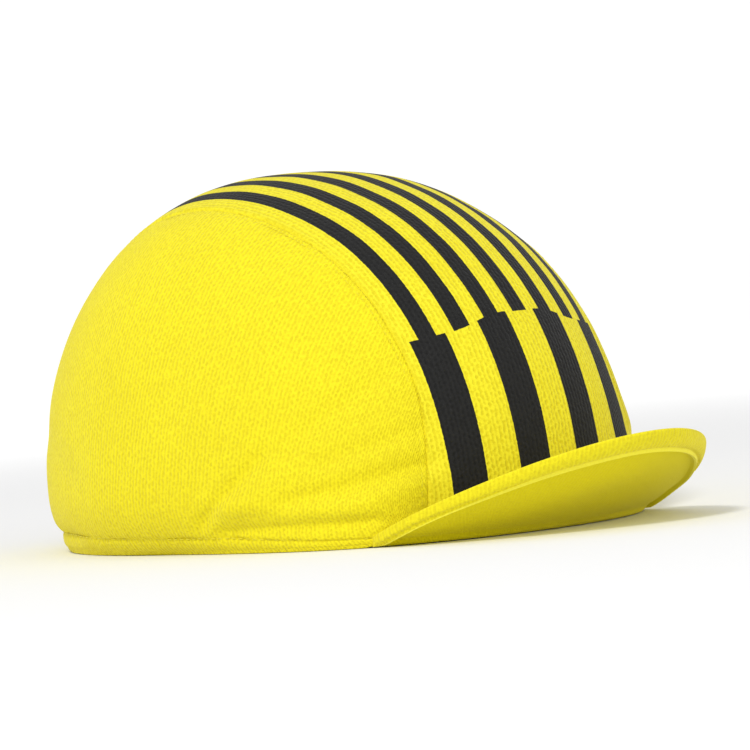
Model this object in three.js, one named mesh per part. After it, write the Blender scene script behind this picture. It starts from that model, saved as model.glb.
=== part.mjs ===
// Soft knitted cap: a centre panel, two side panels, a turned-up peak and an inner band.
// Millimetres, +Z up, the peak points to -Y, the wearer's right is -X.
// The cap rests on its rim: the origin is the middle of the whole, at the height of the rim.
import * as THREE from 'three';

// crown
const FRONT_REACH = 107.5;
const BACK_REACH = 92.5;
const SIDE_REACH = 77;
const HEIGHT = 109.5;
const GIRTH_HEIGHT = 17.6;
const APEX_SHIFT = 3.2;

// cloth and clearances
const CLOTH = 1.2;
const GAP = 0.3;

// centre panel: half its width, measured across the cloth, and where it tapers at the rear
const PANEL_HALF = 41;
const PANEL_REAR_HALF = 6;
const TAPER_FROM = 100;
const TAPER_POWER = 2.5;

// inner band
const BAND_TALL = 15;
const BAND_THICK = 1.2;
const BAND_LAP = 12;
const BAND_JOIN_AT = 163.5;

// peak
const PEAK_REACH = 68.4;
const PEAK_RISE = 25.4;
const PEAK_DEEP = 3;
const PEAK_CORNER_AT = 33.2;
const PEAK_CORNER_WIDTH = 1.6;
const PEAK_EDGE_END = 77;
const PEAK_FULLNESS = 0.257;

// how the crown runs at the front, side and back: exponent of its outline seen from above,
// exponent of its profile, and the depth over which the wall tucks in under the girth
const CROWN_FORM = {
  front: { outline: 2.05, profile: 2.1, tuck: 0.73 * HEIGHT },
  side: { outline: 2.0, profile: 2.33, tuck: 0.32 * HEIGHT },
  back: { outline: 1.97, profile: 1.82, tuck: 0.347 * HEIGHT },
};

// the peak's corners hold the rim out, and the rear corners tuck in less
const PEAK_CORNER_PUSH = { at: 33, spread: 20, amount: 0.055, height: 0.228 * HEIGHT };
const REAR_CORNER = { at: 140, spread: 30, tuck: 0.146 * HEIGHT };

// dents and folds of the cloth: angle from the front in degrees (right side negative) and
// height, at both ends; width and height in shares of HEIGHT, depth in shares of CLOTH,
// a negative depth stands out
const FOLDS = [
  { a1: -57, h1: 0.04, a2: -33, h2: 0.066, width: 0.028, depth: 0.95 },
  { a1: -56, h1: 0.082, a2: -28, h2: 0.125, width: 0.035, depth: -0.6 },
  { a1: -54, h1: 0.215, a2: -66, h2: 0.112, width: 0.05, depth: 1.1 },
  { a1: -66, h1: 0.245, a2: -72, h2: 0.14, width: 0.055, depth: 0.55 },
  { a1: 36, h1: 0.062, a2: 62, h2: 0.045, width: 0.03, depth: 0.85 },
  { a1: 30, h1: 0.118, a2: 60, h2: 0.085, width: 0.035, depth: -0.55 },
  { a1: 58, h1: 0.2, a2: 72, h2: 0.12, width: 0.05, depth: 0.8 },
  { a1: 118, h1: 0.05, a2: 158, h2: 0.06, width: 0.03, depth: 0.7 },
  { a1: -158, h1: 0.06, a2: -120, h2: 0.048, width: 0.03, depth: 0.7 },
];

const RAD = Math.PI / 180;

function mix(c, values) {
  const w = c * c;
  const end = c > 0 ? values[0] : values[2];
  return values[1] + (end - values[1]) * w;
}

function formOf(key) {
  return [CROWN_FORM.front[key], CROWN_FORM.side[key], CROWN_FORM.back[key]];
}

function hump(u, rule) {
  const degrees = Math.abs(Math.atan2(Math.sin(u), Math.cos(u))) / RAD;
  return Math.exp(-(((degrees - rule.at) / rule.spread) ** 2));
}

// horizontal reach of the crown from its leaning axis at angle u from the front and height z
function reach(u, z) {
  const c = Math.cos(u);
  const along = c > 0 ? FRONT_REACH : BACK_REACH;
  const p = mix(c, formOf('outline'));
  const plan = (Math.abs(Math.sin(u) / SIDE_REACH) ** p + Math.abs(c / along) ** p) ** (-1 / p);
  const push = PEAK_CORNER_PUSH.amount * Math.exp(-((z / PEAK_CORNER_PUSH.height) ** 2));
  const wide = plan * (1 + push * hump(u, PEAK_CORNER_PUSH));
  if (z >= GIRTH_HEIGHT) {
    const n = mix(c, formOf('profile'));
    const g = (z - GIRTH_HEIGHT) / (HEIGHT - GIRTH_HEIGHT);
    return wide * Math.max(0, 1 - g ** n) ** (1 / n);
  }
  const tuck = mix(c, formOf('tuck')) + REAR_CORNER.tuck * hump(u, REAR_CORNER);
  const g = (GIRTH_HEIGHT - z) / tuck;
  return wide * Math.sqrt(Math.max(0, 1 - g * g));
}

function axisY(z) {
  return (APEX_SHIFT * z) / HEIGHT;
}

function onCrown(u, z) {
  const r = reach(u, z);
  return new THREE.Vector3(r * Math.sin(u), axisY(z) - r * Math.cos(u), z);
}

function fullness(p) {
  const y = p.y - axisY(p.z);
  const r = reach(Math.atan2(p.x, -y), p.z);
  return Math.hypot(p.x, y) / Math.max(r, 1e-6);
}

function normalAt(p) {
  const step = 0.02;
  const at = (x, y, z) => fullness(new THREE.Vector3(p.x + x, p.y + y, p.z + z));
  const n = new THREE.Vector3(
    at(step, 0, 0) - at(-step, 0, 0),
    at(0, step, 0) - at(0, -step, 0),
    at(0, 0, step) - at(0, 0, -step),
  );
  return n.normalize();
}

// how far a fold pulls the cloth in at p
function foldAt(p) {
  const u = Math.atan2(p.x, -(p.y - axisY(p.z))) / RAD;
  const perDegree = SIDE_REACH * RAD;
  let pull = 0;
  for (const f of FOLDS) {
    const dx = (f.a2 - f.a1) * perDegree;
    const dz = (f.h2 - f.h1) * HEIGHT;
    const px = (u - f.a1) * perDegree;
    const pz = p.z - f.h1 * HEIGHT;
    const long = dx * dx + dz * dz;
    const t = (px * dx + pz * dz) / long;
    const over = Math.max(0, -t, t - 1) * Math.sqrt(long);
    const across = Math.abs(px * dz - pz * dx) / Math.sqrt(long);
    const width = f.width * HEIGHT;
    const taper = Math.exp(-((over / (2.2 * width)) ** 2));
    pull += f.depth * CLOTH * taper * Math.exp(-((across / width) ** 2));
  }
  return pull;
}

// the crown's cloth at a depth below its outer face, with its folds; the rim stays level
function skin(p, depth) {
  const n = normalAt(p);
  const pull = foldAt(p);
  if (p.z < 1e-6) {
    const flat = new THREE.Vector3(n.x, n.y, 0);
    return p.clone().addScaledVector(flat, -(pull + depth) / flat.lengthSq());
  }
  return p.clone().addScaledVector(n, -(pull + depth));
}

// a point of the crown on the plane through the cross axis at angle th, at sideways x
function fanPoint(x, th) {
  let low = 0;
  let high = 2 * FRONT_REACH;
  for (let i = 0; i < 44; i += 1) {
    const m = (low + high) / 2;
    const p = new THREE.Vector3(x, -m * Math.cos(th), m * Math.sin(th));
    if (p.z < HEIGHT && fullness(p) < 1) {
      low = m;
    } else {
      high = m;
    }
  }
  return new THREE.Vector3(x, -low * Math.cos(th), low * Math.sin(th));
}

// the point at distance s across the cloth from the middle, on the fan plane th
function across(th, s) {
  const step = 1;
  let length = 0;
  let last = fanPoint(0, th);
  let x = 0;
  const side = Math.sign(s) || 1;
  while (length < Math.abs(s) - 1e-9) {
    const next = fanPoint(side * (x + step), th);
    const span = next.distanceTo(last);
    if (length + span >= Math.abs(s)) {
      x += (step * (Math.abs(s) - length)) / span;
      break;
    }
    length += span;
    x += step;
    last = next;
  }
  return fanPoint(side * x, th);
}

function panelHalf(th) {
  const over = Math.max(0, (th / RAD - TAPER_FROM) / (180 - TAPER_FROM));
  return PANEL_HALF - (PANEL_HALF - PANEL_REAR_HALF) * over ** TAPER_POWER;
}

function quad(faces, a, b, c, d) {
  faces.push(a, b, c, a, c, d);
}

function signedVolume(points, faces) {
  let sum = 0;
  for (let i = 0; i < faces.length; i += 3) {
    const [a, b, c] = [points[faces[i]], points[faces[i + 1]], points[faces[i + 2]]];
    sum += a.dot(new THREE.Vector3().crossVectors(b, c));
  }
  return sum / 6;
}

// points that fall together become one, and faces without area are left out
function merge(points, faces) {
  const kept = [];
  const index = new Map();
  const to = points.map((p) => {
    const key = [p.x, p.y, p.z].map((c) => Math.round(c * 1e4)).join();
    if (!index.has(key)) {
      index.set(key, kept.length);
      kept.push(p);
    }
    return index.get(key);
  });
  const left = [];
  for (let i = 0; i < faces.length; i += 3) {
    const [a, b, c] = [to[faces[i]], to[faces[i + 1]], to[faces[i + 2]]];
    if (a !== b && b !== c && c !== a) {
      left.push(a, b, c);
    }
  }
  return [kept, left];
}

function solid(name, allPoints, allFaces, colour, roughness) {
  const [points, faces] = merge(allPoints, allFaces);
  if (signedVolume(points, faces) < 0) {
    for (let i = 0; i < faces.length; i += 3) {
      [faces[i], faces[i + 1]] = [faces[i + 1], faces[i]];
    }
  }
  const geometry = new THREE.BufferGeometry();
  geometry.setAttribute('position', new THREE.Float32BufferAttribute(
    points.flatMap((p) => [p.x, p.y, p.z]), 3));
  geometry.setIndex(faces);
  geometry.computeVertexNormals();
  const material = new THREE.MeshStandardMaterial({ color: colour, roughness });
  material.name = name;
  const mesh = new THREE.Mesh(geometry, material);
  mesh.name = name;
  return mesh;
}

// a wall from two grids of points with the same rows and columns; ring closes the columns
function wall(name, outer, inner, ring, colour) {
  const rows = outer.length;
  const columns = outer[0].length;
  const points = [...outer.flat(), ...inner.flat()];
  const at = (layer, i, j) => layer * rows * columns + i * columns + (j % columns);
  const faces = [];
  const last = ring ? columns : columns - 1;
  for (let i = 0; i < rows - 1; i += 1) {
    for (let j = 0; j < last; j += 1) {
      quad(faces, at(0, i, j), at(0, i, j + 1), at(0, i + 1, j + 1), at(0, i + 1, j));
      quad(faces, at(1, i, j), at(1, i + 1, j), at(1, i + 1, j + 1), at(1, i, j + 1));
    }
  }
  for (let j = 0; j < last; j += 1) {
    quad(faces, at(0, 0, j), at(1, 0, j), at(1, 0, j + 1), at(0, 0, j + 1));
    const e = rows - 1;
    quad(faces, at(0, e, j), at(0, e, j + 1), at(1, e, j + 1), at(1, e, j));
  }
  if (!ring) {
    const e = columns - 1;
    for (let i = 0; i < rows - 1; i += 1) {
      quad(faces, at(0, i, 0), at(0, i + 1, 0), at(1, i + 1, 0), at(1, i, 0));
      quad(faces, at(0, i, e), at(1, i, e), at(1, i + 1, e), at(0, i + 1, e));
    }
  }
  return solid(name, points, faces, colour, 0.9);
}

// stations along the seams, closer together at the two rims
const STATIONS = 42;

function fanAngle(i) {
  const t = i / STATIONS;
  return Math.PI * (t - 0.036 * Math.sin(4 * Math.PI * t));
}

function centrePanel() {
  const wide = 10;
  const outer = [];
  const inner = [];
  for (let i = 0; i <= STATIONS; i += 1) {
    const th = fanAngle(i);
    const half = panelHalf(th) - GAP / 2;
    const row = [];
    for (let j = 0; j <= wide; j += 1) {
      const p = across(th, half * ((2 * j) / wide - 1));
      if (i === 0 || i === STATIONS) {
        p.z = 0;
      }
      row.push(p);
    }
    outer.push(row.map((p) => skin(p, 0)));
    inner.push(row.map((p) => skin(p, CLOTH)));
  }
  return wall('centre_panel', outer, inner, false, 0xe8d41c);
}

// a seam point as angle from the front and height, on the left side
function seamAt(th) {
  const p = across(th, panelHalf(th) + GAP / 2);
  return { u: Math.atan2(p.x, -(p.y - axisY(p.z))), z: p.z };
}

// the side panel is a half moon between the rim and the seam over the top; its columns
// start at the seam's front foot and end at its rear foot
function sidePanel(name, side) {
  const tall = 19;
  const foot = [seamAt(0), seamAt(Math.PI)];
  const outer = [];
  const inner = [];
  for (let i = 0; i <= tall; i += 1) {
    const v = (i / tall) ** 1.35;
    const row = [];
    for (let j = 0; j <= STATIONS; j += 1) {
      const t = j / STATIONS;
      const low = foot[0].u + (foot[1].u - foot[0].u) * t;
      const top = seamAt(fanAngle(j));
      row.push(onCrown(side * (low + (top.u - low) * v), Math.max(0, top.z) * v));
    }
    outer.push(row.map((p) => skin(p, 0)));
    inner.push(row.map((p) => skin(p, CLOTH)));
  }
  return wall(name, outer, inner, false, 0xe8d41c);
}

// the band's tape runs round inside the rim, its ends lapped at the join
function innerBand() {
  const round = 84;
  const heights = [0, 0.25, 0.5, 0.75, 1].map((share) => GAP + share * BAND_TALL);
  const outer = [];
  const inner = [];
  for (const z of heights) {
    const a = [];
    const b = [];
    for (let j = 0; j < round; j += 1) {
      const u = ((j + 0.5) / round) * 2 * Math.PI;
      const p = onCrown(u, z);
      const far = (Math.abs(u - BAND_JOIN_AT * RAD) * BACK_REACH) / (BAND_LAP / 2);
      const lap = far < 1 ? 0.8 : 0;
      a.push(skin(p, CLOTH + GAP));
      b.push(skin(p, CLOTH + GAP + BAND_THICK * (1 + lap)));
    }
    outer.push(a);
    inner.push(b);
  }
  return wall('sweatband', outer, inner, true, 0xdfe3ee);
}

// the peak's outer edge seen from above and its rise, at t from -1 to 1
function peakEdge(t) {
  const end = PEAK_EDGE_END * RAD;
  const corner = onCrown(PEAK_CORNER_AT * RAD, 0);
  const shape = (phi) => Math.sin(phi) + PEAK_FULLNESS * Math.sin(2 * phi);
  const forward = Math.cos(t * end) ** 2 - Math.cos(end) ** 2;
  const x = (corner.x * shape(t * end)) / shape(end);
  const out = (GAP + PEAK_CORNER_WIDTH) * t ** 4;
  const p = new THREE.Vector3(x, corner.y - PEAK_REACH * forward, PEAK_RISE * forward);
  const aim = new THREE.Vector3(corner.x * Math.sign(t), corner.y, 0).normalize();
  return p.addScaledVector(aim, out);
}

function peak() {
  const wide = 44;
  const deep = 6;
  const under = [];
  const over = [];
  for (let i = 0; i <= deep; i += 1) {
    const v = i / deep;
    const low = [];
    const high = [];
    for (let j = 0; j <= wide; j += 1) {
      const t = (2 * j) / wide - 1;
      const u = t * PEAK_CORNER_AT * RAD;
      const rimLow = skin(onCrown(u, GAP), -GAP);
      const rimHigh = skin(onCrown(u, GAP + PEAK_DEEP), -GAP);
      rimLow.z = GAP;
      rimHigh.z = GAP + PEAK_DEEP;
      const edge = peakEdge(t);
      const p = rimLow.clone().lerp(edge, v);
      p.z = GAP + edge.z * v ** 1.1;
      const q = rimHigh.clone().lerp(edge, v);
      q.z = p.z + PEAK_DEEP;
      low.push(p);
      high.push(q);
    }
    under.push(low);
    over.push(high);
  }
  return wall('peak', over, under, false, 0xcdbb16);
}

const group = new THREE.Group();
group.name = 'cycling_cap';
group.add(
  centrePanel(),
  sidePanel('side_panel_right', -1),
  sidePanel('side_panel_left', 1),
  peak(),
  innerBand(),
);

// the sections above are laid out from the crown's own middle; the whole is moved so that
// its overall box stands centred over the origin
const box = new THREE.Box3().setFromObject(group);
const middle = box.getCenter(new THREE.Vector3());
for (const mesh of group.children) {
  mesh.geometry.translate(-middle.x, -middle.y, -box.min.z);
}

export default group;
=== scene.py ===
# Soft knitted cycling cap, resting on its rim, seen from its right front.
import math

import bmesh
import bpy
import numpy as np
from mathutils import Matrix, Vector


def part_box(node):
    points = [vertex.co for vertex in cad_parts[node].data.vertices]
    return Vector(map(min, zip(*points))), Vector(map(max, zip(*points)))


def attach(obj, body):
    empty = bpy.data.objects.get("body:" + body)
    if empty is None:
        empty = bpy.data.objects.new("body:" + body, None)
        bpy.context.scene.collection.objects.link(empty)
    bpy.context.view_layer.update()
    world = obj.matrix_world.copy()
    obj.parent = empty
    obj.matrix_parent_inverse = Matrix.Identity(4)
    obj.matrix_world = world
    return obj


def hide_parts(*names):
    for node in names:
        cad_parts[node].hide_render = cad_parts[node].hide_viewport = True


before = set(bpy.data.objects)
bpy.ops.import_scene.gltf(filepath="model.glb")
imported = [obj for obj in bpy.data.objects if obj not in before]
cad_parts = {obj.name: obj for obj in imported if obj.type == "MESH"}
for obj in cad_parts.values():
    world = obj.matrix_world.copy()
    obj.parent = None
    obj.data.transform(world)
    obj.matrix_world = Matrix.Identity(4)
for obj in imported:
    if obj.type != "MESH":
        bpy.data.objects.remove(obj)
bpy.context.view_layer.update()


# CENTRE PANEL
# One strip of printed polyester knit from the rim above the peak, over the top, to the rim at
# the rear, sewn between the two side panels. All three are cut to the crown's form, which is
# given here in millimetres: an outline from above, a profile, and a tuck under the girth.
FRONT_REACH, BACK_REACH, SIDE_REACH = 107.5, 92.5, 77.0
HEIGHT, GIRTH_HEIGHT, APEX_SHIFT = 109.5, 17.6, 3.2
CLOTH = 1.2
# half the panel's width over the top, what it gains at the peak and what it loses at the rear
PANEL_HALF, PEAK_EXTRA, REAR_TAPER = 41, 5, 35
# width of a broad stripe, and how far up the panel they turn into fine ones
STRIPE, STRIPE_CHANGE = 10.8, 66.0

# the panel's rearmost point gives the crown's middle in the shared frame
PANEL_REAR = 92.96
MIDDLE_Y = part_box("centre_panel")[1][1] * 1000 - PANEL_REAR

# powers of the outline and of the profile, and the depth of the tuck under the girth, each
# at the front, the sides and the back
CROWN_FORM = {
    "outline": (2.05, 2.0, 1.97),
    "profile": (2.1, 2.33, 1.82),
    "tuck": (0.73 * HEIGHT, 0.32 * HEIGHT, 0.347 * HEIGHT),
}

# the peak's corners push the side out near the rim: share, height, angle and spread
CORNER_PUSH, PUSH_HEIGHT, PUSH_AT, PUSH_SPREAD = 0.055, 0.228 * HEIGHT, 33, 20
# and the tuck runs deeper beside the rear: added depth, angle and spread
REAR_TUCK, TUCK_AT, TUCK_SPREAD = 0.146 * HEIGHT, 140, 30

# soft folds: angle from the front and height at both ends, then width and depth; heights and
# width in shares of HEIGHT, depth in shares of CLOTH; a negative depth stands out
FOLDS = [
    (-62, 0.058, -34, 0.070, 0.015, 0.90),
    (-60, 0.080, -36, 0.080, 0.034, 0.45),
    (-60, 0.125, -36, 0.104, 0.028, -0.80),
    (-53, 0.240, -67, 0.095, 0.019, 1.05),
    (-49, 0.190, -59, 0.120, 0.032, -0.60),
    (-26, 0.200, -46, 0.135, 0.022, 1.35),
    (-26, 0.155, -35, 0.115, 0.028, -0.65),
    (-27, 0.450, -41, 0.330, 0.024, 0.62),
    (-26, 0.290, -39, 0.235, 0.020, 0.62),
    (36, 0.062, 62, 0.045, 0.018, 0.80),
    (30, 0.118, 60, 0.085, 0.035, -0.60),
    (56, 0.210, 70, 0.110, 0.020, 0.80),
    (27, 0.210, 42, 0.150, 0.026, 0.80),
    (118, 0.050, 158, 0.060, 0.020, 0.80),
    (-158, 0.060, -120, 0.048, 0.020, 0.80),
    (150, 0.420, 120, 0.300, 0.060, 0.50),
    (-148, 0.380, -118, 0.250, 0.060, 0.50),
]


def ease(a, b, x):
    """Runs smoothly from 0 at a to 1 at b."""
    t = np.clip((x - a) / (b - a), 0, 1)
    return t * t * (3 - 2 * t)


def bell(x, height, width):
    """A soft ridge over x = 0."""
    return height * np.exp(-((x / width) ** 2))


def between(c, key):
    """One of the crown's values on the way from the front over the side to the back."""
    front, side, back = CROWN_FORM[key]
    return side + (np.where(c > 0, front, back) - side) * c * c


def beside(u, at, spread):
    """1 at this many degrees from the front on either side, fading over the spread."""
    degrees = np.degrees(np.abs(np.arctan2(np.sin(u), np.cos(u))))
    return bell(degrees - at, 1, spread)


def reach(u, z):
    """How far the crown reaches from its axis, at angle u from the front and height z."""
    s, c = np.sin(u), np.cos(u)
    along = np.where(c > 0, FRONT_REACH, BACK_REACH)
    p = between(c, "outline")
    plan = (np.abs(s / SIDE_REACH) ** p + np.abs(c / along) ** p) ** (-1 / p)
    push = bell(z, CORNER_PUSH, PUSH_HEIGHT) * beside(u, PUSH_AT, PUSH_SPREAD)
    wide = plan * (1 + push)
    n = between(c, "profile")
    g = np.clip((z - GIRTH_HEIGHT) / (HEIGHT - GIRTH_HEIGHT), 0, 1)
    above = (1 - g**n) ** (1 / n)
    tuck = between(c, "tuck") + REAR_TUCK * beside(u, TUCK_AT, TUCK_SPREAD)
    g = np.clip((GIRTH_HEIGHT - z) / tuck, 0, 1)
    below = np.sqrt(1 - g * g)
    return wide * np.where(z >= GIRTH_HEIGHT, above, below)


def on_crown(u, z):
    """The point of the crown's outer face at angle u from the front and height z."""
    r = reach(u, z)
    return np.stack([r * np.sin(u), APEX_SHIFT * z / HEIGHT - r * np.cos(u), z + 0 * u], -1)


def fullness(p):
    """1 on the crown's outer face, less inside it and more outside."""
    y = p[..., 1] - APEX_SHIFT * p[..., 2] / HEIGHT
    r = reach(np.arctan2(p[..., 0], -y), p[..., 2])
    return np.hypot(p[..., 0], y) / np.maximum(r, 1e-6)


def normal_at(p):
    """The direction out of the cloth, from how the fullness grows about p."""
    n = np.stack([fullness(p + step) - fullness(p - step) for step in np.eye(3) * 0.02], -1)
    return n / np.linalg.norm(n, axis=-1, keepdims=True)


def fold_at(p):
    """How deep the folds draw the cloth in. Each fades beyond its ends over its own width."""
    u = np.degrees(np.arctan2(p[..., 0], -(p[..., 1] - APEX_SHIFT * p[..., 2] / HEIGHT)))
    per_degree = math.radians(SIDE_REACH)
    pull = 0
    for a1, h1, a2, h2, wide, depth in FOLDS:
        dx, dz = (a2 - a1) * per_degree, (h2 - h1) * HEIGHT
        px, pz = (u - a1) * per_degree, p[..., 2] - h1 * HEIGHT
        long = dx * dx + dz * dz
        t = (px * dx + pz * dz) / long
        over = np.maximum(0, np.maximum(-t, t - 1)) * math.sqrt(long)
        off = np.abs(px * dz - pz * dx) / math.sqrt(long)
        w = wide * HEIGHT
        fade = 2.2 * w
        pull = pull + depth * CLOTH * np.exp(-((over / fade) ** 2) - (off / w) ** 2)
    return pull


def skin(p, depth):
    """The crown's cloth at a depth below its outer face, with its folds."""
    pull = np.asarray(fold_at(p) + depth)
    return p - normal_at(p) * pull[..., None]


def fan_point(x, th):
    """The point of the crown at sideways x, on the plane through the cross axis at angle th."""
    low = np.zeros(np.broadcast(x, th).shape)
    high = low + 2 * FRONT_REACH
    for _ in range(36):
        m = (low + high) / 2
        p = np.stack([x + 0 * m, -m * np.cos(th), m * np.sin(th)], -1)
        inside = (p[..., 2] < HEIGHT) & (fullness(p) < 1)
        low, high = np.where(inside, m, low), np.where(inside, high, m)
    return np.stack([x + 0 * low, -low * np.cos(th), low * np.sin(th)], -1)


def across(th, s):
    """Points at distances s across the cloth from the middle, for each fan angle in th."""
    xs = np.linspace(0, PANEL_HALF + 7, 97)
    line = fan_point(xs[None, :], np.asarray(th)[:, None])
    run = np.linalg.norm(np.diff(line, axis=1), axis=-1).cumsum(1)
    run = np.concatenate([np.zeros((len(run), 1)), run], 1)
    x = np.stack([np.interp(np.abs(row), length, xs) for row, length in zip(s, run)])
    return fan_point(x * np.sign(s), np.asarray(th)[:, None])


def panel_half(th):
    """Half the width of the centre panel: broader at the peak, narrow at the rear."""
    turn = np.degrees(th)
    rear = np.clip((turn - 100) / 80, 0, 1) ** 2.5
    return PANEL_HALF + PEAK_EXTRA * (1 - ease(0, 30, turn)) - REAR_TAPER * rear


def ripple(p, size, seed):
    """Slow uneven swell of cloth, about -1 to 1."""
    rng = np.random.default_rng(seed)
    total = 0
    for _ in range(5):
        way = rng.normal(size=3)
        way /= np.linalg.norm(way) * size * rng.uniform(0.8, 1.5)
        total = total + np.sin(p @ way * 2 * math.pi + rng.uniform(0, 6.3))
    return total / 3


def to_metres(p):
    """Points of the shared frame in metres, from points about the crown's middle."""
    return (np.asarray(p).reshape(-1, 3) + (0, MIDDLE_Y, 0)) / 1000


def mesh_of(name, points, faces, uv, shades, materials):
    """A closed mesh from points in millimetres, faces, a cloth map in metres for each point
    and the number of its material for each face."""
    mesh = bpy.data.meshes.new(name)
    mesh.from_pydata(to_metres(points), [], [list(map(int, face)) for face in faces])
    layer = mesh.uv_layers.new(name="cloth")
    loops = np.empty(len(mesh.loops), np.int32)
    mesh.loops.foreach_get("vertex_index", loops)
    layer.data.foreach_set("uv", np.asarray(uv, np.float32).reshape(-1, 2)[loops].ravel())
    for material in materials:
        mesh.materials.append(material)
    mesh.polygons.foreach_set("material_index", np.asarray(shades, np.int32))
    bm = bmesh.new()
    bm.from_mesh(mesh)
    bmesh.ops.remove_doubles(bm, verts=bm.verts, dist=2e-6)
    bmesh.ops.dissolve_degenerate(bm, edges=bm.edges, dist=1e-7)
    bmesh.ops.recalc_face_normals(bm, faces=bm.faces)
    if bm.calc_volume(signed=True) < 0:
        bmesh.ops.reverse_faces(bm, faces=bm.faces)
    bm.to_mesh(mesh)
    bm.free()
    mesh.polygons.foreach_set("use_smooth", np.ones(len(mesh.polygons), bool))
    mesh.set_sharp_from_angle(angle=math.radians(62))
    piece = bpy.data.objects.new(name, mesh)
    bpy.context.collection.objects.link(piece)
    return piece


def grid_faces(rows, columns, first=0, ring=False):
    """Faces between neighbouring rows of points; a ring's last column meets its first."""
    wide = columns if ring else columns - 1
    i, j = np.meshgrid(np.arange(rows - 1), np.arange(wide), indexing="ij")
    k = (j + 1) % columns
    corners = [i * columns + j, i * columns + k, (i + 1) * columns + k, (i + 1) * columns + j]
    return first + np.stack(corners, -1).reshape(-1, 4)


# the cloth reaches the floor on the wearer's right front, round this angle, and the band's
# edge shows below it on the far side
LOW_SIDE = math.radians(-41)
RIM_LOW, RIM_LIFT = 0.08, 0.45


def far_side(u):
    """0 where the cloth reaches lower, and 1 where the band does."""
    return ease(75, 105, np.degrees(np.abs(np.angle(np.exp(1j * (u - LOW_SIDE))))))


def rim_lift(p):
    """How high the lowest cloth stands: over the peak's root, and on the far side."""
    u = np.arctan2(p[..., 0], -p[..., 1])
    front = 1 - ease(33, 35, np.degrees(np.abs(u)))
    return RIM_LOW + RIM_LIFT * np.maximum(front, far_side(u))


# the rolled edge: depth through the cloth in shares of its thickness, and height above the
# floor in millimetres
ROLL = [(0.08, 0.24), (0.28, 0.12), (0.6, 0.26), (0.85, 0.42)]


def cloth_wall(name, outer, inner, uv, ends, materials):
    """A wall of cloth: outer and inner grids, joined by a rolled edge at the rows in ends and
    by a plain strip along the seams."""
    rows, columns = outer.shape[:2]
    points = [outer.reshape(-1, 3), inner.reshape(-1, 3)]
    maps = [uv.reshape(-1, 2), uv.reshape(-1, 2)]
    faces = [grid_faces(rows, columns), grid_faces(rows, columns, rows * columns)]
    shades = [np.zeros(len(faces[0])), np.ones(len(faces[1]))]
    count = 2 * rows * columns
    caps = []
    for row in (0, rows - 1):
        a, b = outer[row], inner[row]
        roll = [a]
        if row in ends:
            for share, height in ROLL:
                arc = a + (b - a) * share
                arc[:, 2] = height
                roll.append(arc)
        roll.append(b)
        points.append(np.concatenate(roll))
        maps.append(np.concatenate([uv[row]] * len(roll)))
        strip = grid_faces(len(roll), columns, count)
        faces.append(strip)
        shades.append(np.zeros(len(strip)))
        if len(roll) > 2:
            for column in (0, columns - 1):
                caps.append([count + k * columns + column for k in range(len(roll))])
        count += len(roll) * columns
    for column in (0, columns - 1):
        index = np.arange(rows) * columns + column
        other = index + rows * columns
        strip = np.stack([index[:-1], index[1:], other[1:], other[:-1]], -1)
        faces.append(strip)
        shades.append(np.zeros(len(strip)))
    points = np.concatenate(points)
    points[:, 2] = np.maximum(points[:, 2], rim_lift(points))
    shades.append(np.zeros(len(caps)))
    return mesh_of(name, points, [*np.concatenate(faces), *caps], np.concatenate(maps),
                   np.concatenate(shades), materials)


class Loom:
    """A node tree in the making, of a material or of a node group."""

    def __init__(self, tree):
        self.tree = tree

    def fill(self, node, values):
        for key, value in values.items():
            if isinstance(value, Wire):
                self.tree.links.new(value.socket, node.inputs[key])
            else:
                node.inputs[key].default_value = value

    def node(self, kind, settings=None, values=None, out=0):
        """Adds a node: its settings first, then the values or links of its sockets."""
        node = self.tree.nodes.new(kind)
        for key, value in (settings or {}).items():
            setattr(node, key, value)
        self.fill(node, values or {})
        return Wire(self, node.outputs[out]) if node.outputs else node

    def blend(self, amount, a, b):
        a, b = (c if isinstance(c, Wire) else (*c, 1) for c in (a, b))
        return self.node("ShaderNodeMix", {"data_type": "RGBA"}, {0: amount, 6: a, 7: b}, out=2)


class Wire:
    """A value on its way through a node tree, which takes part in Python expressions."""

    def __init__(self, loom, socket):
        self.loom, self.socket = loom, socket

    def also(self, out):
        """Another output of the node that this value comes from."""
        return Wire(self.loom, self.socket.node.outputs[out])

    def _sum(self, operation, *values):
        return self.loom.node("ShaderNodeMath", {"operation": operation}, dict(enumerate(values)))

    def __add__(self, other): return self._sum("ADD", self, other)
    def __radd__(self, other): return self._sum("ADD", other, self)
    def __sub__(self, other): return self._sum("SUBTRACT", self, other)
    def __rsub__(self, other): return self._sum("SUBTRACT", other, self)
    def __mul__(self, other): return self._sum("MULTIPLY", self, other)
    def __rmul__(self, other): return self._sum("MULTIPLY", other, self)
    def __truediv__(self, other): return self._sum("DIVIDE", self, other)
    def __rtruediv__(self, other): return self._sum("DIVIDE", other, self)
    def __abs__(self): return self._sum("ABSOLUTE", self)

    def cos(self): return self._sum("COSINE", self)
    def round(self): return self._sum("ROUND", self)
    def most(self, other): return self._sum("MAXIMUM", self, other)
    def least(self, other): return self._sum("MINIMUM", self, other)

    def ease(self, a, b):
        """Runs smoothly from 0 at a to 1 at b."""
        t = ((self - a) / (b - a)).most(0).least(1)
        return t * t * (3 - 2 * t)


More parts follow.
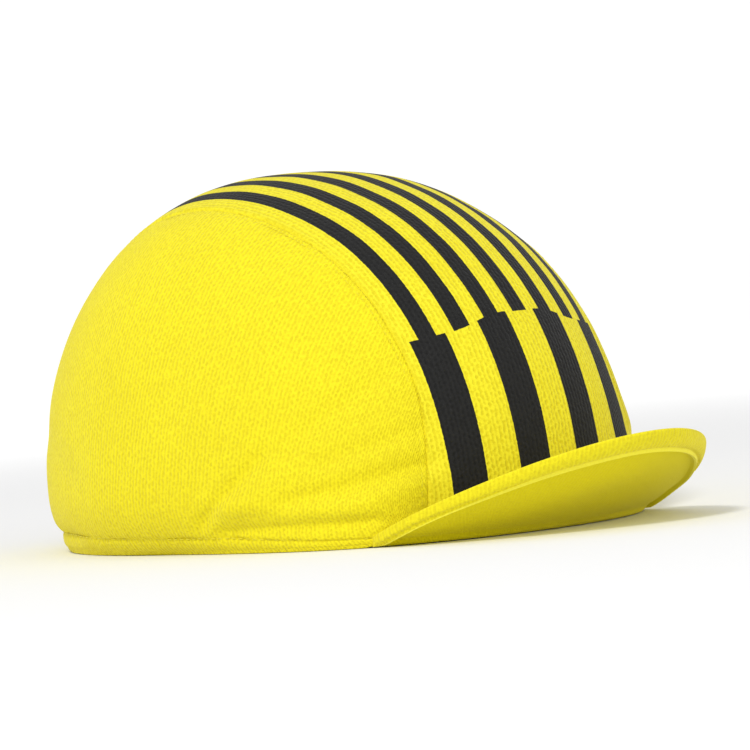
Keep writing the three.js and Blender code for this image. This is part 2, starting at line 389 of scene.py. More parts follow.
class Cloth(Loom):
    """A cloth's material: its tree, its shader, and its map in millimetres."""

    def __init__(self, name, roughness, sheen=0.0, gloss=0.25):
        self.material = bpy.data.materials.new(name)
        self.material.use_nodes = True
        super().__init__(self.material.node_tree)
        self.shader = self.tree.nodes["Principled BSDF"]
        self.fill(self.shader, {"Roughness": roughness, "Specular IOR Level": gloss,
                                "Sheen Weight": sheen, "Sheen Roughness": 0.5})
        across = self.node("ShaderNodeSeparateXYZ", {},
                           {0: self.node("ShaderNodeUVMap", {"uv_map": "cloth"})})
        self.u, self.v = across * 1000, across.also(1) * 1000

    def noise(self, size, detail=2.0):
        """Noise from 0 to 1 with lumps of about this size in millimetres."""
        place = self.node("ShaderNodeTexCoord", out="Object")
        return self.node("ShaderNodeTexNoise", {},
                         {"Vector": place, "Scale": 1000 / size, "Detail": detail})

    def finish(self, colour, height, distance):
        """Colours the cloth and raises it by the height times this distance in metres."""
        bump = self.node("ShaderNodeBump", {},
                         {"Strength": 1.0, "Distance": distance, "Height": height})
        self.fill(self.shader, {"Base Color": colour, "Normal": bump})
        return self.material

    def mesh_cells(self, column, row):
        """1 in the pits of the knit and 0 on its loops: columns of short pits, set off by
        half a row from those of the next column, and all a little uneven."""
        waver = (self.noise(4.0) - 0.5) * 3.0
        side = self.u * (math.pi / column) + waver
        along = self.v * (math.tau / row) + waver
        cells = side.cos() * along.cos() * 0.20 + (side * 2).cos() * 0.36
        uneven = (self.noise(1.0, 3.0) - 0.5) * 2.6
        return (cells + uneven).ease(-0.55, 0.85)


def knit(name, base, deep, ink=None, strong=1.0, gloss=0.25):
    """Matt polyester knit in a small staggered mesh, base on its loops and deep in its pits,
    with the panel's stripes where there is ink to print them."""
    cloth = Cloth(name, roughness=0.75, sheen=0.06, gloss=gloss)
    pit = cloth.mesh_cells(column=1.38, row=2.03)
    fuzz = cloth.noise(0.5, 3.0)
    slow = cloth.noise(38.0)
    colour = cloth.blend(pit * (0.62 * strong) + fuzz * 0.25, base, deep)
    colour = cloth.blend(slow.ease(0.35, 0.7) * 0.15, colour, deep)
    if ink:
        # in stripe widths from the middle: one wide stripe in two, and one fine one in each
        edge = (cloth.noise(0.9) - 0.5) * 0.03
        side = abs(cloth.u) / STRIPE + edge
        wide = 0.5 - abs(abs(side - 2) - 1)
        fine = 0.25 - abs(side - side.round())
        fine = fine.least(3.5 - side)
        # the line where the stripes change bows towards the rim
        off = (side - 2.3) / 1.3
        bow = (1 - off * off).most(0) * 2.0
        low = (STRIPE_CHANGE - bow - cloth.v + edge * 12) / 10
        line = fine.least(0.04 - low).most(wide.least(low))
        print_on = line.ease(-0.010, 0.010)
        lighter = [min(1, c * 2.6 + 0.004) for c in ink]
        shade = (1 - pit) * 0.55 + fuzz.ease(0.35, 0.75) * 0.4
        colour = cloth.blend(print_on, colour, cloth.blend(shade, ink, lighter))
    height = 0.8 * (1 - pit) + 0.35 * fuzz
    return cloth.finish(colour, height, 0.00026 * strong)


inside_cloth = knit("pale_knit_back", (0.90, 0.94, 0.99), (0.64, 0.69, 0.80), strong=0.6)
panel_cloth = knit("striped_knit", (0.86, 0.775, 0.022), (0.63, 0.51, 0.003),
                   ink=(0.0048, 0.0048, 0.0045), gloss=0.18)

# how far the inner face is sunk, so that a seam's line doesn't come through
INNER_SINK = 0.1


def seam_dip(distance):
    """How far the cloth draws in beside a seam: a fine line in a soft hollow."""
    return bell(distance, 0.60, 0.42) + bell(distance, 0.26, 2.4)


def pucker(run, distance):
    """The small drawn-in waves that the stitches leave along a seam."""
    return 0.07 * np.sin(run * 2 * math.pi / 2.7) * np.exp(-distance / 2.2)


def swell(p):
    """The slow unevenness of soft cloth over the whole crown."""
    return 0.28 * ripple(p, 46, 3) + 0.07 * ripple(p, 17, 5)


def fan_angles(turn):
    """Angles from the front rim over the top to the rear rim, closer together at both ends."""
    return np.pi * (turn - 0.036 * np.sin(4 * np.pi * turn))


def crowded(count, pull):
    """Shares from -1 to 1, closer together at both ends the nearer the pull is to 1."""
    turned = np.linspace(-1, 1, count) * math.pi / 2 * pull
    return np.sin(turned) / math.sin(math.pi / 2 * pull)


th = fan_angles(np.linspace(0, 1, 421))
# the first and last rows lie just above the floor
th[0], th[-1] = 0.0055, np.pi - 0.0062
half = panel_half(th)
s = half[:, None] * crowded(81, 0.985)[None, :]
points = across(th, s)
middle = fan_point(np.zeros(len(th)), th)
run = np.r_[0, np.linalg.norm(np.diff(middle, axis=0), axis=-1).cumsum()]
to_seam = half[:, None] - np.abs(s)
# the panel's edge stands up a little beside the seam
lip = bell(to_seam - 1.0, 0.30, 0.5)
outer = skin(points, seam_dip(to_seam) - lip + pucker(run[:, None], to_seam) - swell(points))
inner = skin(points, CLOTH + INNER_SINK - swell(points))
uv = np.stack([s, np.broadcast_to(run[:, None], s.shape)], -1) / 1000
centre = cloth_wall("centre_panel_cloth", outer, inner, uv, (0, len(th) - 1),
                    [panel_cloth, inside_cloth])
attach(centre, "root")
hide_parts("centre_panel")


# SIDE PANELS
# Two half moons of plain knit, sewn to the centre panel along their curved edge and topstitched
# beside the seam. The straight edge is turned up and stitched for the hem at the rim. The
# lockstitch is short lengths of yellow thread that dive into the cloth at both ends.
# the hem's height and how much lower it is at the peak, the topstitched line's distance from
# the seam, and the height where the panel's flat cloth starts
HEM, HEM_DROP, TOPSTITCH, SIDE_LOW = 6.2, 2.0, 1.7, 0.55
side_cloth = knit("yellow_knit", (0.86, 0.765, 0.006), (0.65, 0.52, 0.001))


def spaced(count, length, first, last):
    """Shares from 0 to 1, closer together by these factors within 5 mm of the first end and
    3 mm of the last."""
    x = np.linspace(0, 1, 2001)
    dense = 1 + first * np.exp(-x * length / 5) + last * np.exp(-(1 - x) * length / 3)
    run = np.r_[0, ((dense[1:] + dense[:-1]) / 2).cumsum()]
    return np.interp(np.linspace(0, run[-1], count), run, x)


def stitch_group():
    """Lays one stitch at every pitch along a line: a small spindle of thread, turned along it."""
    group = bpy.data.node_groups.new("lockstitch", "GeometryNodeTree")
    face = group.interface
    face.new_socket("Line", in_out="INPUT", socket_type="NodeSocketGeometry")
    sizes = {"Pitch": 0.0026, "Length": 0.0019, "Thread": 0.0002, "Uneven": 0.06}
    for name, value in sizes.items():
        socket = face.new_socket(name, in_out="INPUT", socket_type="NodeSocketFloat")
        socket.default_value = value
    face.new_socket("Material", in_out="INPUT", socket_type="NodeSocketMaterial")
    face.new_socket("Stitches", in_out="OUTPUT", socket_type="NodeSocketGeometry")
    loom = Loom(group)
    line = loom.node("NodeGroupInput", out="Line")
    pitch, long, thick, uneven, colour = map(
        line.also, ("Pitch", "Length", "Thread", "Uneven", "Material"))
    spots = loom.node("GeometryNodeResampleCurve", {"mode": "LENGTH"},
                      {"Curve": line, "Length": pitch})
    ball = loom.node("GeometryNodeMeshIcoSphere", {}, {"Radius": 1.0, "Subdivisions": 2})
    way = loom.node("GeometryNodeInputTangent")
    turned = loom.node("FunctionNodeAlignRotationToVector", {"axis": "X"}, {"Vector": way})
    chance = loom.node("FunctionNodeRandomValue", {"data_type": "FLOAT"},
                       {2: 1 - uneven, 3: 1 + uneven, "Seed": 7}, out=1)
    size = loom.node("ShaderNodeCombineXYZ", {}, {0: long * 0.5 * chance, 1: thick, 2: thick})
    laid = loom.node("GeometryNodeInstanceOnPoints", {},
                     {"Points": spots, "Instance": ball, "Rotation": turned, "Scale": size})
    laid = loom.node("GeometryNodeRealizeInstances", {}, {0: laid})
    laid = loom.node("GeometryNodeSetShadeSmooth", {}, {0: laid})
    laid = loom.node("GeometryNodeSetMaterial", {}, {0: laid, "Material": colour})
    loom.node("NodeGroupOutput", {}, {0: laid})
    return group


def line_object(name, points, ring=False):
    """A line of thread as a curve object, from points in millimetres."""
    curve = bpy.data.curves.new(name, "CURVE")
    curve.dimensions = "3D"
    spline = curve.splines.new("POLY")
    spots = to_metres(points)
    spline.points.add(len(spots) - 1)
    spline.points.foreach_set("co", np.c_[spots, np.ones(len(spots))].ravel())
    spline.use_cyclic_u = ring
    thing = bpy.data.objects.new(name, curve)
    bpy.context.collection.objects.link(thing)
    return thing


def applied(thing, name, material=None):
    """The evaluated shape of a line as a plain mesh piece; the line itself goes."""
    bpy.context.view_layer.update()
    graph = bpy.context.evaluated_depsgraph_get()
    mesh = bpy.data.meshes.new_from_object(thing.evaluated_get(graph))
    mesh.name = name
    if material:
        mesh.materials.clear()
        mesh.materials.append(material)
    bm = bmesh.new()
    bm.from_mesh(mesh)
    bmesh.ops.remove_doubles(bm, verts=bm.verts, dist=1e-7)
    bmesh.ops.recalc_face_normals(bm, faces=bm.faces)
    bm.to_mesh(mesh)
    bm.free()
    bpy.data.objects.remove(thing)
    piece = bpy.data.objects.new(name, mesh)
    bpy.context.collection.objects.link(piece)
    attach(piece, "root")
    return piece


LOCKSTITCH = stitch_group()


def stitches(name, points, material, slot, ring=False, **sizes):
    """A row of stitches along the points, with sizes in metres by the group's own names."""
    line = line_object(name + "_line", points, ring)
    modifier = line.modifiers.new("lockstitch", "NODES")
    modifier.node_group = LOCKSTITCH
    sockets = {socket.name: socket.identifier for socket in LOCKSTITCH.interface.items_tree
               if socket.in_out == "INPUT"}
    for key, value in sizes.items():
        modifier[sockets[key]] = value
    modifier[sockets["Material"]] = material
    return applied(line, name)


def plain_thread(name, colour):
    """Spun thread in one colour, with a fine twist."""
    cloth = Cloth(name, roughness=0.6, sheen=0.2)
    twist = cloth.noise(0.4)
    darker = [c * 0.72 for c in colour]
    return cloth.finish(cloth.blend(twist, colour, darker), twist, 0.00005)


yellow_thread = plain_thread("yellow_thread", (0.84, 0.73, 0.01))


def side_panel(name, node, side):
    """One half moon, on side -1 or 1: columns run up from the rim to the seam."""
    columns, rows = 300, 104
    seam_th = fan_angles(np.linspace(0.008, 0.9905, columns))
    edge = across(seam_th, panel_half(seam_th)[:, None])[:, 0]
    edge_u = np.arctan2(edge[:, 0], -(edge[:, 1] - APEX_SHIFT * edge[:, 2] / HEIGHT))
    low = edge_u[0] + (edge_u[-1] - edge_u[0]) * np.linspace(0, 1, columns)
    v = spaced(rows, 100, 1.6, 5.0)[:, None]
    u = low + (edge_u - low) * v
    z = SIDE_LOW + np.maximum(edge[:, 2] - SIDE_LOW, 0) * v
    points = on_crown(u, z)
    up = np.linalg.norm(np.diff(points, axis=0), axis=-1).cumsum(0)
    up = np.concatenate([np.zeros((1, columns)), up])
    run = np.linalg.norm(np.diff(points, axis=1), axis=-1)
    run = np.concatenate([np.zeros((rows, 1)), run.cumsum(1)], 1)
    mirror = np.array([side, 1, 1])
    points = points * mirror
    to_seam = np.full(points.shape[:2], np.inf)
    for spot in edge * mirror:
        to_seam = np.minimum(to_seam, np.linalg.norm(points - spot, axis=-1))
    depth = seam_dip(to_seam) - swell(points)
    depth += pucker(run, to_seam)
    # the topstitched line beside the seam
    depth += bell(to_seam - TOPSTITCH, 0.12, 0.35)
    # the hem, lower towards the peak: a stitched line, a full strip under it, small gathers
    # over it, and a fine line where the cloth is turned up
    hem = HEM - HEM_DROP * (1 - ease(35, 75, np.degrees(np.abs(u))))
    depth += bell(up - hem, 0.62, 0.48) * ease(3, 6, to_seam)
    depth -= bell(up - 0.5 * hem, 0.28, 2.0)
    gather = np.sin(run * 2 * math.pi / 5.3 + 1.5 * ripple(points, 30, 11))
    depth += 0.10 * gather * np.exp(-np.maximum(up - hem, 0) / 4) * ease(1, HEM, up)
    depth += bell(up - 1.2, 0.12, 0.35)
    outer = skin(points, depth)
    inner = skin(points, CLOTH + INNER_SINK - swell(points))
    uv = np.stack([run - run[:, columns // 2][:, None], up], -1) / 1000
    piece = cloth_wall(name, outer, inner, uv, (0,), [side_cloth, inside_cloth])
    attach(piece, "root")
    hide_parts(node)
    # thread lines, as angles and heights: one beside the seam, one along the hem
    top_u, top_z, hem_u, hem_z = [], [], [], []
    for j in range(2, columns - 2):
        # the highest point of the column that lies short of the topstitched line
        column = to_seam[:, j]
        i = rows - 1 - int(np.argmax(column[::-1] > TOPSTITCH))
        if column.max() > TOPSTITCH and z[i, j] > 1.2:
            share = (column[i] - TOPSTITCH) / max(column[i] - column[i + 1], 1e-6)
            top_u.append(u[i, j] + (u[i + 1, j] - u[i, j]) * share)
            top_z.append(z[i, j] + (z[i + 1, j] - z[i, j]) * share)
        if up[-1, j] > HEM + 3:
            hem_u.append(np.interp(hem[0, j], up[:, j], u[:, j]))
            hem_z.append(np.interp(hem[0, j], up[:, j], z[:, j]))
    seam_line = skin(on_crown(np.array(top_u), np.array(top_z)) * mirror, 0.24)
    hem_line = skin(on_crown(np.array(hem_u), np.array(hem_z)) * mirror, 0.30)
    word = node.split("_")[-1]
    stitches("topstitch_" + word, seam_line, yellow_thread, "yellow_knit", Thread=0.00015)
    stitches("hem_stitch_" + word, hem_line, yellow_thread, "yellow_knit")


side_panel("side_panel_right_cloth", "side_panel_right", -1)
side_panel("side_panel_left_cloth", "side_panel_left", 1)


# INSIDE SEAMS
# Both long seams are overlocked on the inside: a flat turning of the cloth laid to one side,
# wrapped by a pale thread that slants to and fro across it.
# the turning's distance from the seam, its width and rise, and the thread's step along it
TURNING_START, TURNING_WIDE, TURNING_RISE, OVERLOCK_STEP = 0.6, 4.8, 1.0, 0.85
pale_thread = plain_thread("pale_thread", (0.78, 0.82, 0.86))


def thread(name, points, radius, material):
    """One long thread that follows the points, with its radius in metres."""
    line = line_object(name + "_line", points)
    line.data.bevel_depth = radius
    line.data.bevel_resolution = 1
    line.data.use_fill_caps = True
    return applied(line, name, material)


def inside_seam(side):
    """The turning along one seam, on side -1 or 1, and the thread that goes to and fro."""
    th = np.linspace(0.17, math.pi - 0.17, 300)
    near = panel_half(th) + TURNING_START
    far = near + TURNING_WIDE
    s = np.stack([near, (near + far) / 2, far], -1)
    strip = across(th, s) * (side, 1, 1)
    edge_rise = 0.55 * TURNING_RISE
    top = skin(strip, CLOTH + np.array([edge_rise, TURNING_RISE, edge_rise]))
    base = skin(strip, CLOTH + 0.02)
    run = np.r_[0, np.linalg.norm(np.diff(strip[:, 0], axis=0), axis=-1).cumsum()]
    loop = np.concatenate([top, base[:, ::-1]], 1)
    faces = grid_faces(len(th), 6, ring=True)
    caps = [[0, 1, 2, 3], [0, 3, 4, 5], [6 * len(th) - k for k in (6, 5, 4, 3)],
            [6 * len(th) - k for k in (6, 3, 2, 1)]]
    girth = np.broadcast_to(np.arange(6) * 0.5 * TURNING_WIDE, loop.shape[:2])
    uv = np.stack([girth, np.repeat(run[:, None], 6, 1)], -1)
    word = "right" if side < 0 else "left"
    piece = mesh_of("seam_turning_" + word, loop.reshape(-1, 3), [*faces, *caps],
                    uv / 1000, np.zeros(len(faces) + 4), [inside_cloth])
    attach(piece, "root")
    count = int(run[-1] / OVERLOCK_STEP)
    at = np.interp(np.linspace(1, run[-1] - 1, count), run, th)
    wide = np.where(np.arange(count) % 2 == 0, 0.35, 5.65)
    zig = across(at, (panel_half(at) + wide)[:, None])[:, 0] * (side, 1, 1)
    zig = skin(zig, CLOTH + TURNING_RISE + 0.02)
    thread("overlock_" + word, zig, 0.00026, pale_thread)


inside_seam(-1)
inside_seam(1)


# PEAK
# A stiff board in yellow cloth, turned up towards its middle and sewn in under the rim. The
# cloth is drawn round the edge to a seam on the smoother underside, where a line of stitches
# holds it, with small gathers at the corners.
PEAK_REACH, PEAK_RISE, PEAK_DEEP = 68.4, 25.4, 3.0
PEAK_CORNER, PEAK_END = math.radians(33.2), math.radians(77)
PEAK_UNDER = 0.3
# width of the rolled edge near the corners and at the middle, and the rounding of its top
# edge in shares of the peak's depth
ROLL_CORNER, ROLL_MIDDLE, PEAK_BEVEL = 2.4, 6.0, 0.26
# the groove of the stitches lies this far out from the roll's seam
ROLL_GROOVE, PEAK_LIP, PEAK_FLOOR_GAP = 1.15, 1.5, 0.25
# rows of points along a section, from the root outward and back
LIP_ROWS, UNDER_ROWS, ROLL_ROWS, TOP_ROWS = 2, 40, 24, 34
BEVEL_TURNS = (22, 45, 68, 90)


def peak_bow(phi):
    """The outline's sideways swing, fuller towards the corners than a plain sine."""
    return np.sin(phi) + 0.257 * np.sin(2 * phi)


def peak_edge(t):
    """The peak's outline at t, from -1 at one corner to 1 at the other."""
    corner = on_crown(np.array(PEAK_CORNER), np.array(0.0))
    forward = np.cos(t * PEAK_END) ** 2 - math.cos(PEAK_END) ** 2
    x = corner[0] * peak_bow(t * PEAK_END) / peak_bow(PEAK_END)
    p = np.stack([x, corner[1] - PEAK_REACH * forward, PEAK_RISE * forward], -1)
    aim = np.stack([corner[0] * np.sign(t), corner[1] + 0 * t, 0 * t], -1)
    aim = aim / np.linalg.norm(aim, axis=-1, keepdims=True)
    return p + aim * (1.9 * t**4)[..., None]


def peak_point(t, v, up):
    """The peak's underside (up 0) or top (up 1) at t from corner to corner and v outward."""
    root = skin(on_crown(t * PEAK_CORNER, PEAK_UNDER + PEAK_DEEP * up + 0 * t), -0.3)
    edge = peak_edge(t)
    p = root + (edge - root) * v[..., None]
    p[..., 2] = PEAK_UNDER + edge[..., 2] * np.maximum(v, 0) ** 1.1 + PEAK_DEEP * up
    return p


def peak_rows(columns=281):
    """Sections across the peak at each t, from its root under the crown, along the
    underside, round the rolled edge and back along the top."""
    t = crowded(columns, 0.8)
    whole = np.linalg.norm(peak_point(t, 1 + 0 * t, 0) - peak_point(t, 0 * t, 0), axis=-1)
    middle = 1 - ease(0.1, 0.75, np.abs(t))
    roll = np.minimum(ROLL_CORNER + (ROLL_MIDDLE - ROLL_CORNER) * middle, 0.8 * whole)
    top_seam = np.minimum(5.5, 0.8 * whole)
    edge_run = np.r_[0, np.linalg.norm(np.diff(peak_edge(t), axis=0), axis=-1).cumsum()]
    # each row's distance from the edge, and its height in shares of the peak's depth
    plan = []
    # rows on the underside, closer together at the sewn line
    for share in 1 - spaced(UNDER_ROWS, 60, 0, 8):
        plan.append((roll + (whole - roll) * share, 0 * t))
    for turn in np.radians(90 * np.linspace(0.05, 1, ROLL_ROWS) ** 1.4):
        rise = (1 - PEAK_BEVEL) * (1 - math.cos(turn))
        plan.append((roll * (1 - math.sin(turn)), rise + 0 * t))
    bevel = PEAK_BEVEL * PEAK_DEEP
    for turn in np.radians(BEVEL_TURNS):
        plan.append((bevel * (1 - math.cos(turn)) + 0 * t,
                     1 - PEAK_BEVEL + PEAK_BEVEL * math.sin(turn) + 0 * t))
    for share in spaced(TOP_ROWS, 60, 3, 0)[1:]:
        plan.append((bevel + (whole - bevel) * share, 1 + 0 * t))
    far, up = np.array(plan).transpose(1, 0, 2)
    grid = peak_point(t[None, :], 1 - far / whole, up)
    along = np.gradient(grid, axis=1)
    cross = np.gradient(grid, axis=0)
    out = np.cross(along, cross)
    out = out / np.maximum(np.linalg.norm(out, axis=-1, keepdims=True), 1e-9)
    under = up < 0.5
    corner = ease(0.35, 0.9, np.abs(t))[None, :]
    past = far - roll
    gather = np.sin((edge_run + 1.3 * far * np.sign(t)) * 2 * math.pi / 2.7 + ripple(grid, 22, 9))
    on_roll = np.clip(1 - far / roll, 0, 1)
    # from the edge inward: a full roll, a groove, the ridge of the seam, and the flat cloth
    low = 0.55 * np.sin(math.pi * on_roll) * (past < 0)
    low = low + bell(past + 0.10, 0.55, 0.36) - bell(past + ROLL_GROOVE, 0.55, 0.42)
    low = low - 0.80 * ease(0.2, 1.3, past)
    low = low + (0.03 + 0.10 * corner) * gather * np.sin(math.pi * on_roll) * (past < 0)
    # on the top a sewn line, with a soft roll outside it
    high = bell(far - 0.5 * top_seam, 0.16, 1.8) - bell(far - top_seam, 0.34, 0.55)
    lift = np.where(under, low, high) + 0.16 * ripple(grid, 24, 21) * ease(0, 3, far)
    lift = lift * ease(0.0, 3.0, whole - far) * np.minimum(1, whole / 6)
    grid = grid + out * lift[..., None]
    # a lip at the root reaches in under the crown
    inward = np.stack([-np.sin(t * PEAK_CORNER), np.cos(t * PEAK_CORNER), 0 * t], -1)
    lip = grid[:1] + inward * PEAK_LIP
    lip[..., 2] = 0.32
    grid = np.concatenate([lip + (0, 0, 0.16), lip, grid])
    far = np.concatenate([whole[None, :] + PEAK_LIP] * LIP_ROWS + [far])
    # the cloth's map runs on over the edge, so distances on top count backwards
    over = np.where(np.arange(len(far)) < LIP_ROWS + UNDER_ROWS + 18, 1, -1)
    uv = np.stack([np.broadcast_to(edge_run, far.shape), far * over[:, None]], -1)
    first = LIP_ROWS + UNDER_ROWS
    rolled = slice(first, first + ROLL_ROWS + 2)
    groove = [[np.interp(roll[j] - ROLL_GROOVE, far[rolled, j][::-1], grid[rolled, j, k][::-1])
               for k in range(3)] for j in range(columns)]
    return grid, uv / 1000, whole, [np.array(groove), peak_point(t, 1 - top_seam / whole, 1)]


rows, uv, whole, seams = peak_rows()
rows[..., 2] = np.maximum(rows[..., 2], PEAK_FLOOR_GAP)
count, columns = rows.shape[:2]
faces = grid_faces(columns, count, ring=True)
loops = rows.transpose(1, 0, 2)
caps = []
for start in (0, (columns - 1) * count):
    for k in range((count - 1) // 2):
        ring = [start + k, start + k + 1, start + count - 2 - k, start + count - 1 - k]
        caps.append(list(dict.fromkeys(ring)))
peak_cloth = knit("peak_cloth", (0.86, 0.765, 0.008), (0.66, 0.53, 0.002), strong=0.75)
# the underside is the same yellow cloth, painted darker: painted shade of a face turned down,
# away from the lights
under_shade_cloth = knit("peak_under_painted_shade", (0.77, 0.68, 0.003), (0.66, 0.54, 0.002),
                   strong=0.4, gloss=0.05)
# the ridge of the seam is painted paler: a painted highlight, where its lip would catch the light
ridge_highlight_cloth = knit("peak_ridge_painted_highlight", (0.92, 0.85, 0.06), (0.84, 0.74, 0.01), strong=0.3)
shade = np.zeros(count)
# the underside's faces take the cloth with the painted shade
shade[:UNDER_ROWS + 1] = 1
# the ridge's faces take the cloth with the painted highlight
shade[UNDER_ROWS - 2:UNDER_ROWS + 6] = 2
peak = mesh_of("peak_board", loops.reshape(-1, 3), [*faces, *caps],
               uv.transpose(1, 0, 2).reshape(-1, 2),
               [*np.tile(shade, columns - 1), *np.zeros(len(caps))],
               [peak_cloth, under_shade_cloth, ridge_highlight_cloth])
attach(peak, "root")
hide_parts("peak")
# stitches end where the peak gets narrow at its corners
keep = whole > 9
for word, line, drop in (("under", seams[0][keep], 0.22), ("top", seams[1][keep], -0.12)):
    line[:, 2] += drop
    stitches("peak_stitch_" + word, line, yellow_thread, "peak_cloth")


# SWEATBAND
# Ribbed elastic tape round the inside of the rim, its ends lapped and held by two zigzags at
# the wearer's left rear, and sewn down by a line of grey stitches round its middle.
BAND_TALL, BAND_THICK, BAND_GAP = 15.0, 1.2, 0.35
BAND_JOIN = math.radians(163.5)
# the lower edge just clears the floor on the far side, and is lifted on the near one
BAND_LOW, BAND_LIFT = 0.02, 0.9
RIB, YARN = 0.9, 0.7
ZIGZAG_APART, ZIGZAG_HALF, ZIGZAG_STEP = 5.0, 1.1, 0.52
grey_thread = plain_thread("grey_thread", (0.42, 0.45, 0.52))


def tape_cloth():
    """White elastic, with ribs along the tape and finer yarns across it."""
    cloth = Cloth("band_tape", roughness=0.75, sheen=0.05)
    rib = (cloth.v * (math.tau / RIB)).cos() * 0.5 + 0.5
    yarn = (cloth.u * (math.tau / YARN)).cos() * 0.5 + 0.5
    fuzz = cloth.noise(0.7)
    light = rib * 0.4 + yarn * 0.2 + fuzz * 0.4
    colour = cloth.blend(light, (0.86, 0.88, 0.93), (0.96, 0.97, 0.99))
    return cloth.finish(colour, rib * 0.7 + yarn * 0.3 + fuzz * 0.3, 0.00012)


def band_point(u, z, depth):
    """A point of the tape at a depth behind its face on the cloth, thicker over its lap. The
    tape is moved level, so its lower edge keeps its height."""
    lap = 0.4 * BAND_THICK * (1 - ease(5.2, 6.2, np.abs(u - BAND_JOIN) * BACK_REACH))
    wave = 0.12 * np.sin(u * 41) * ease(8, 15, z)
    p = on_crown(u, z)
    level = normal_at(p) * (1, 1, 0)
    level = level / (level * level).sum(-1, keepdims=True)
    pull = fold_at(p) + CLOTH + BAND_GAP + depth + (lap if depth > BAND_THICK / 2 else 0) + wave
    return p - level * pull[..., None]


around = 420
u = np.linspace(0, 2 * math.pi, around, endpoint=False)
tall = np.linspace(0.35, BAND_TALL + 0.25, 26)
# the tape's section as heights and depths: its face on the cloth, its upper edge, its inner
# face and its lower edge
loop = [(0.10, 0.12), (0.40, 0.0), (0.8, 0.0)] + [(z, 0.05) for z in tall[3:]]
loop += [(BAND_TALL + 0.5, 0.35), (BAND_TALL + 0.6, 0.65), (BAND_TALL + 0.5, 0.95)]
loop += [(z, BAND_THICK) for z in tall[::-1]] + [(0.14, 1.08), (0.03, 0.8), (0.02, 0.4)]
rows = np.array([band_point(u, z + 0 * u, depth) for z, depth in loop])
rows[..., 2] = np.maximum(rows[..., 2], BAND_LOW + BAND_LIFT * (1 - far_side(u)))
rim = on_crown(u, 8 + 0 * u)
length = np.r_[0, np.linalg.norm(np.diff(rim, axis=0), axis=-1).cumsum()]
height = np.repeat(np.array([z for z, _ in loop])[:, None], around, 1)
uv = np.stack([np.broadcast_to(length, rows.shape[:2]), height], -1) / 1000
faces = grid_faces(len(loop), around, ring=True)
one = np.arange(around)
two = (one + 1) % around
last_row = (len(loop) - 1) * around
close = np.stack([one, two, two + last_row, one + last_row], -1)
band = mesh_of("sweatband_tape", rows.reshape(-1, 3), np.concatenate([faces, close]),
               uv.reshape(-1, 2), np.zeros(len(faces) + around), [tape_cloth()])
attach(band, "root")
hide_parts("sweatband")

line = band_point(u, 7.4 + 0 * u, BAND_THICK)
stitches("band_stitch", line, grey_thread, "band_tape", ring=True,
         Pitch=0.0032, Length=0.0021, Thread=0.00017)
step = np.arange(26)
swing = np.where(step % 2 == 0, -ZIGZAG_HALF, ZIGZAG_HALF)
for name, shift in (("zigzag_front", -ZIGZAG_APART), ("zigzag_rear", ZIGZAG_APART)):
    at = BAND_JOIN + (shift + swing) / BACK_REACH
    line = band_point(at, 1.2 + step * ZIGZAG_STEP, BAND_THICK + 0.1)
    thread(name, line, 0.00017, pale_thread)


# FLOOR, LIGHT AND CAMERA
# A plain pale floor that curves up into a white sky, a broad soft light at the left of the
# picture and a weaker one in front. The camera keeps the photograph's side of the cap, and
# stands just above the floor.
FLAT_RADIUS, CURVE_RADIUS = 3.0, 2.5
rings = [(0.0, 0.0), (FLAT_RADIUS, 0.0)]
for turn in np.radians(range(4, 61, 4)):
    rings.append((FLAT_RADIUS + CURVE_RADIUS * math.sin(turn),
                  CURVE_RADIUS - CURVE_RADIUS * math.cos(turn)))
around = 96
spots = [(r * math.cos(k * math.tau / around), r * math.sin(k * math.tau / around), z)
         for r, z in rings for k in range(around)]
floor = bpy.data.objects.new("floor", bpy.data.meshes.new("floor"))
floor.data.from_pydata(spots, [], grid_faces(len(rings), around, ring=True).tolist())
floor.data.polygons.foreach_set("use_smooth", [True] * len(floor.data.polygons))
pale = bpy.data.materials.new("floor_paint")
pale.use_nodes = True
paint = Loom(pale.node_tree)
place = paint.node("ShaderNodeTexCoord", out="Object")
x = paint.node("ShaderNodeSeparateXYZ", {}, {0: place})
y = x.also(1)
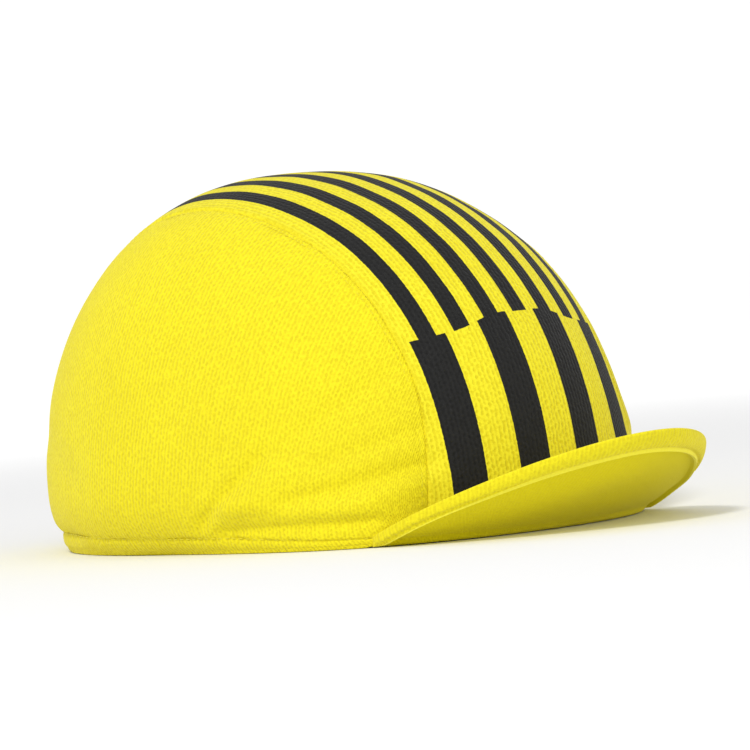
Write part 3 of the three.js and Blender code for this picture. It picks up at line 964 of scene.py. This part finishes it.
# the floor turns to plain white away from the cap
away = (x * x + y * y).ease(0.05, 1.2)
paint.fill(pale.node_tree.nodes["Principled BSDF"],
           {"Base Color": paint.blend(away, (0.88, 0.88, 0.88), (0.97, 0.97, 0.97)),
            "Roughness": 1.0, "Specular IOR Level": 0.0,
            "Emission Color": paint.blend(away, (0, 0, 0), (1, 1, 1)),
            "Emission Strength": 0.25})
floor.data.materials.append(pale)
bpy.context.collection.objects.link(floor)

world = bpy.data.worlds.new("studio")
bpy.context.scene.world = world
world.use_nodes = True
sky = Loom(world.node_tree)
sky.fill(world.node_tree.nodes["Background"], {"Color": (1, 1, 1, 1), "Strength": 0.72})
bpy.context.scene.view_settings.view_transform = "Standard"


def soft_light(name, place, aim, size, power):
    """A round soft lamp: place, aim and size in metres, power in watts."""
    lamp = bpy.data.lights.new(name, "AREA")
    lamp.shape, lamp.size, lamp.energy = "DISK", size, power
    thing = bpy.data.objects.new(name, lamp)
    thing.location = place
    thing.rotation_euler = (Vector(aim) - Vector(place)).to_track_quat("-Z", "Y").to_euler()
    bpy.context.collection.objects.link(thing)


soft_light("key", (-1.7, -0.8, 1.8), (0, 0, 0.05), 0.5, 31)
soft_light("fill", (0.4, -2.3, 0.5), (0, 0, 0.05), 1.2, 6)

CAMERA_AWAY, CAMERA_RIGHT, CAMERA_UP = 1.4, 0.0145, 0.0475
az, el, roll = map(math.radians, (-41.4, 1.6, -4.95))
back = Vector((math.sin(az) * math.cos(el), -math.cos(az) * math.cos(el), math.sin(el)))
right = Vector((math.cos(az), math.sin(az), 0))
up = back.cross(right)
right, up = (math.cos(roll) * right + math.sin(roll) * up,
             -math.sin(roll) * right + math.cos(roll) * up)
camera = bpy.data.objects.new("camera", bpy.data.cameras.new("camera"))
camera.data.sensor_width = 36
camera.data.lens = 221
camera.data.clip_end = 200
aim = Vector((0, MIDDLE_Y / 1000, 0)) + right * CAMERA_RIGHT + up * CAMERA_UP
spot = aim + back * CAMERA_AWAY
turned = Matrix((right, up, back)).transposed().to_4x4()
camera.matrix_world = Matrix.Translation(spot) @ turned
bpy.context.collection.objects.link(camera)
bpy.context.scene.camera = camera
